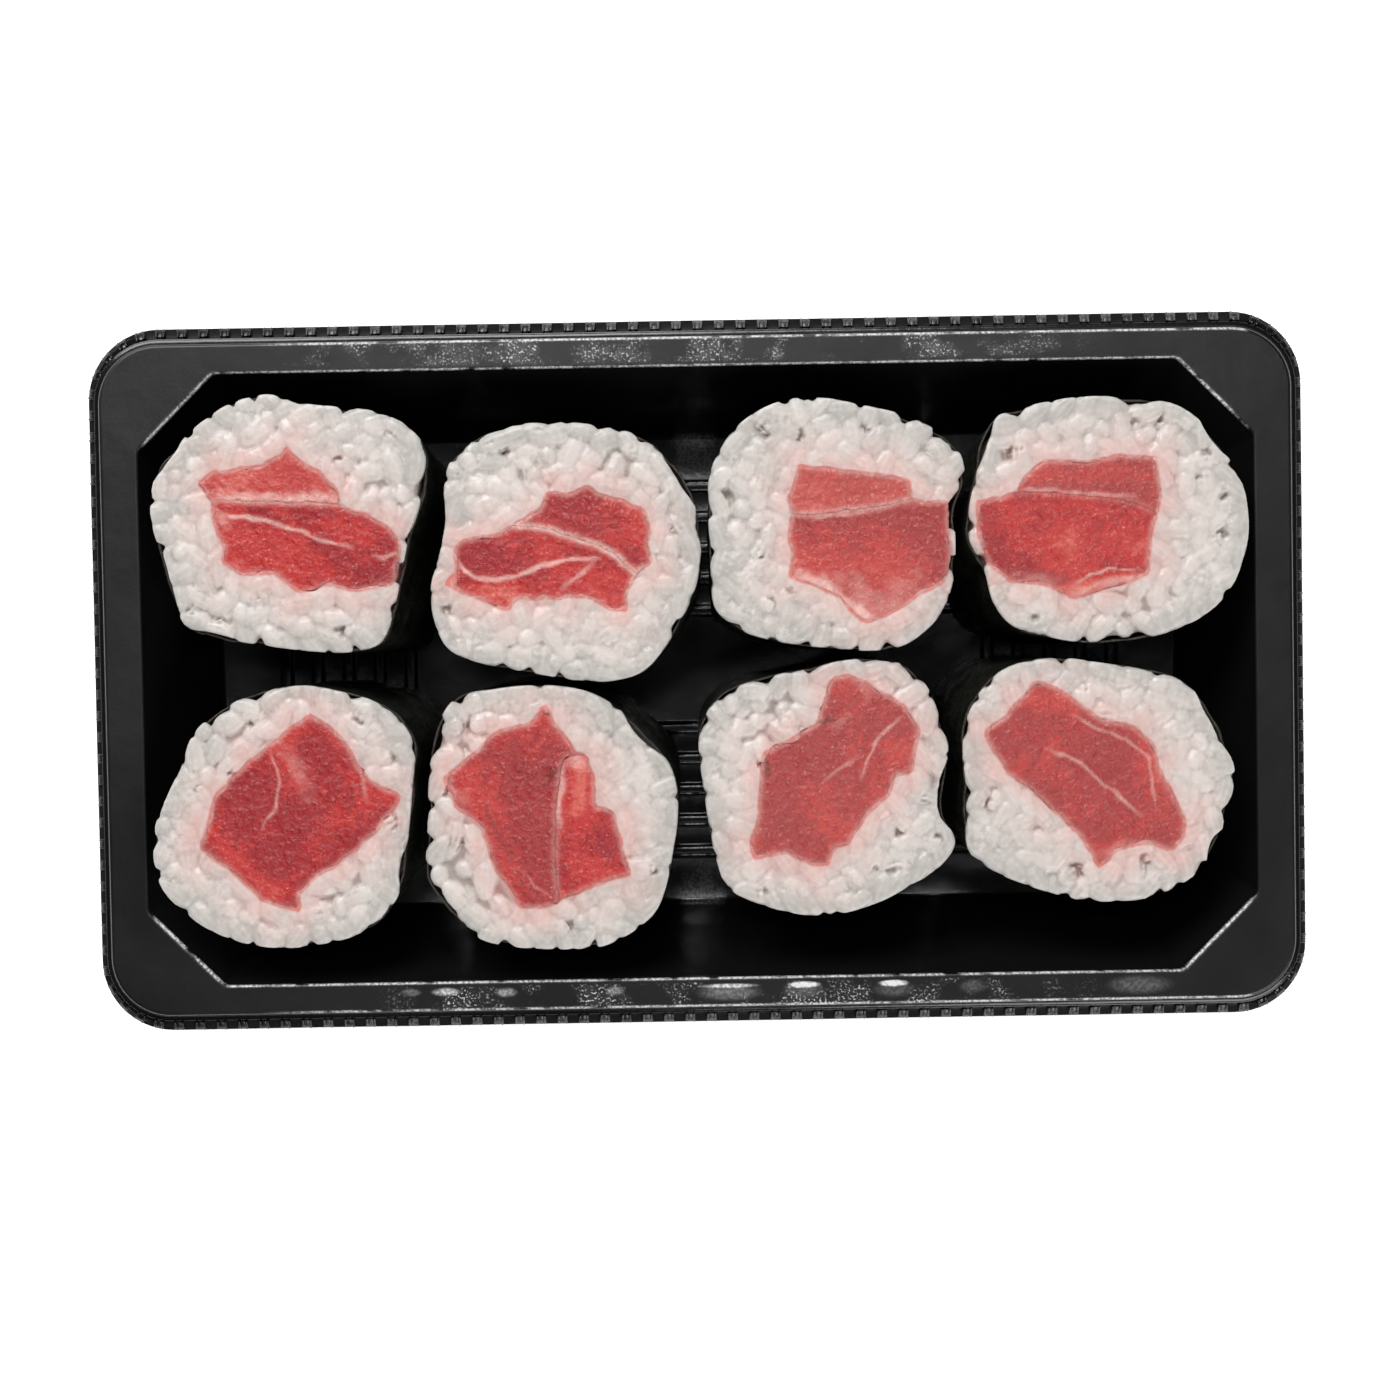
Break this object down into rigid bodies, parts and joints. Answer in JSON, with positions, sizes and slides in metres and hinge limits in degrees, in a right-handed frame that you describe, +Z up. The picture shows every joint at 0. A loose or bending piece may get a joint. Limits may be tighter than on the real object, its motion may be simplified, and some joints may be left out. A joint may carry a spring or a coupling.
{
  "type": "takeaway sushi tray",
  "caption": "Shallow black thermoformed takeaway tray with a stepped rim and ribbed floor, filled with thick cut rolls of seaweed, rice and raw tuna.",
  "frame": {"origin": "under the middle of the tray, on the surface it stands on", "axes": "+X along the tray's long side, +Y towards the back row, +Z up"},
  "size_m": [0.168, 0.0976, 0.0285],
  "materials": {
    "tray": "glossy black sheet",
    "nori": "damp, near black",
    "rice": "moist, slightly translucent",
    "tuna": "wet cut fish"
  },
  "bodies": {
    "root": {"tray": "tray", "nori_1": "nori", "rice_1": "rice", "tuna_1a": "tuna", "tuna_1b": "tuna", "nori_2": "nori", "rice_2": "rice", "tuna_2a": "tuna", "tuna_2b": "tuna", "nori_3": "nori", "rice_3": "rice", "tuna_3a": "tuna", "tuna_3b": "tuna", "nori_4": "nori", "rice_4": "rice", "tuna_4a": "tuna", "tuna_4b": "tuna", "nori_5": "nori", "rice_5": "rice", "tuna_5": "tuna", "nori_6": "nori", "rice_6": "rice", "tuna_6a": "tuna", "tuna_6b": "tuna", "nori_7": "nori", "rice_7": "rice", "tuna_7": "tuna", "nori_8": "nori", "rice_8": "rice", "tuna_8": "tuna"}
  },
  "joints": []
}
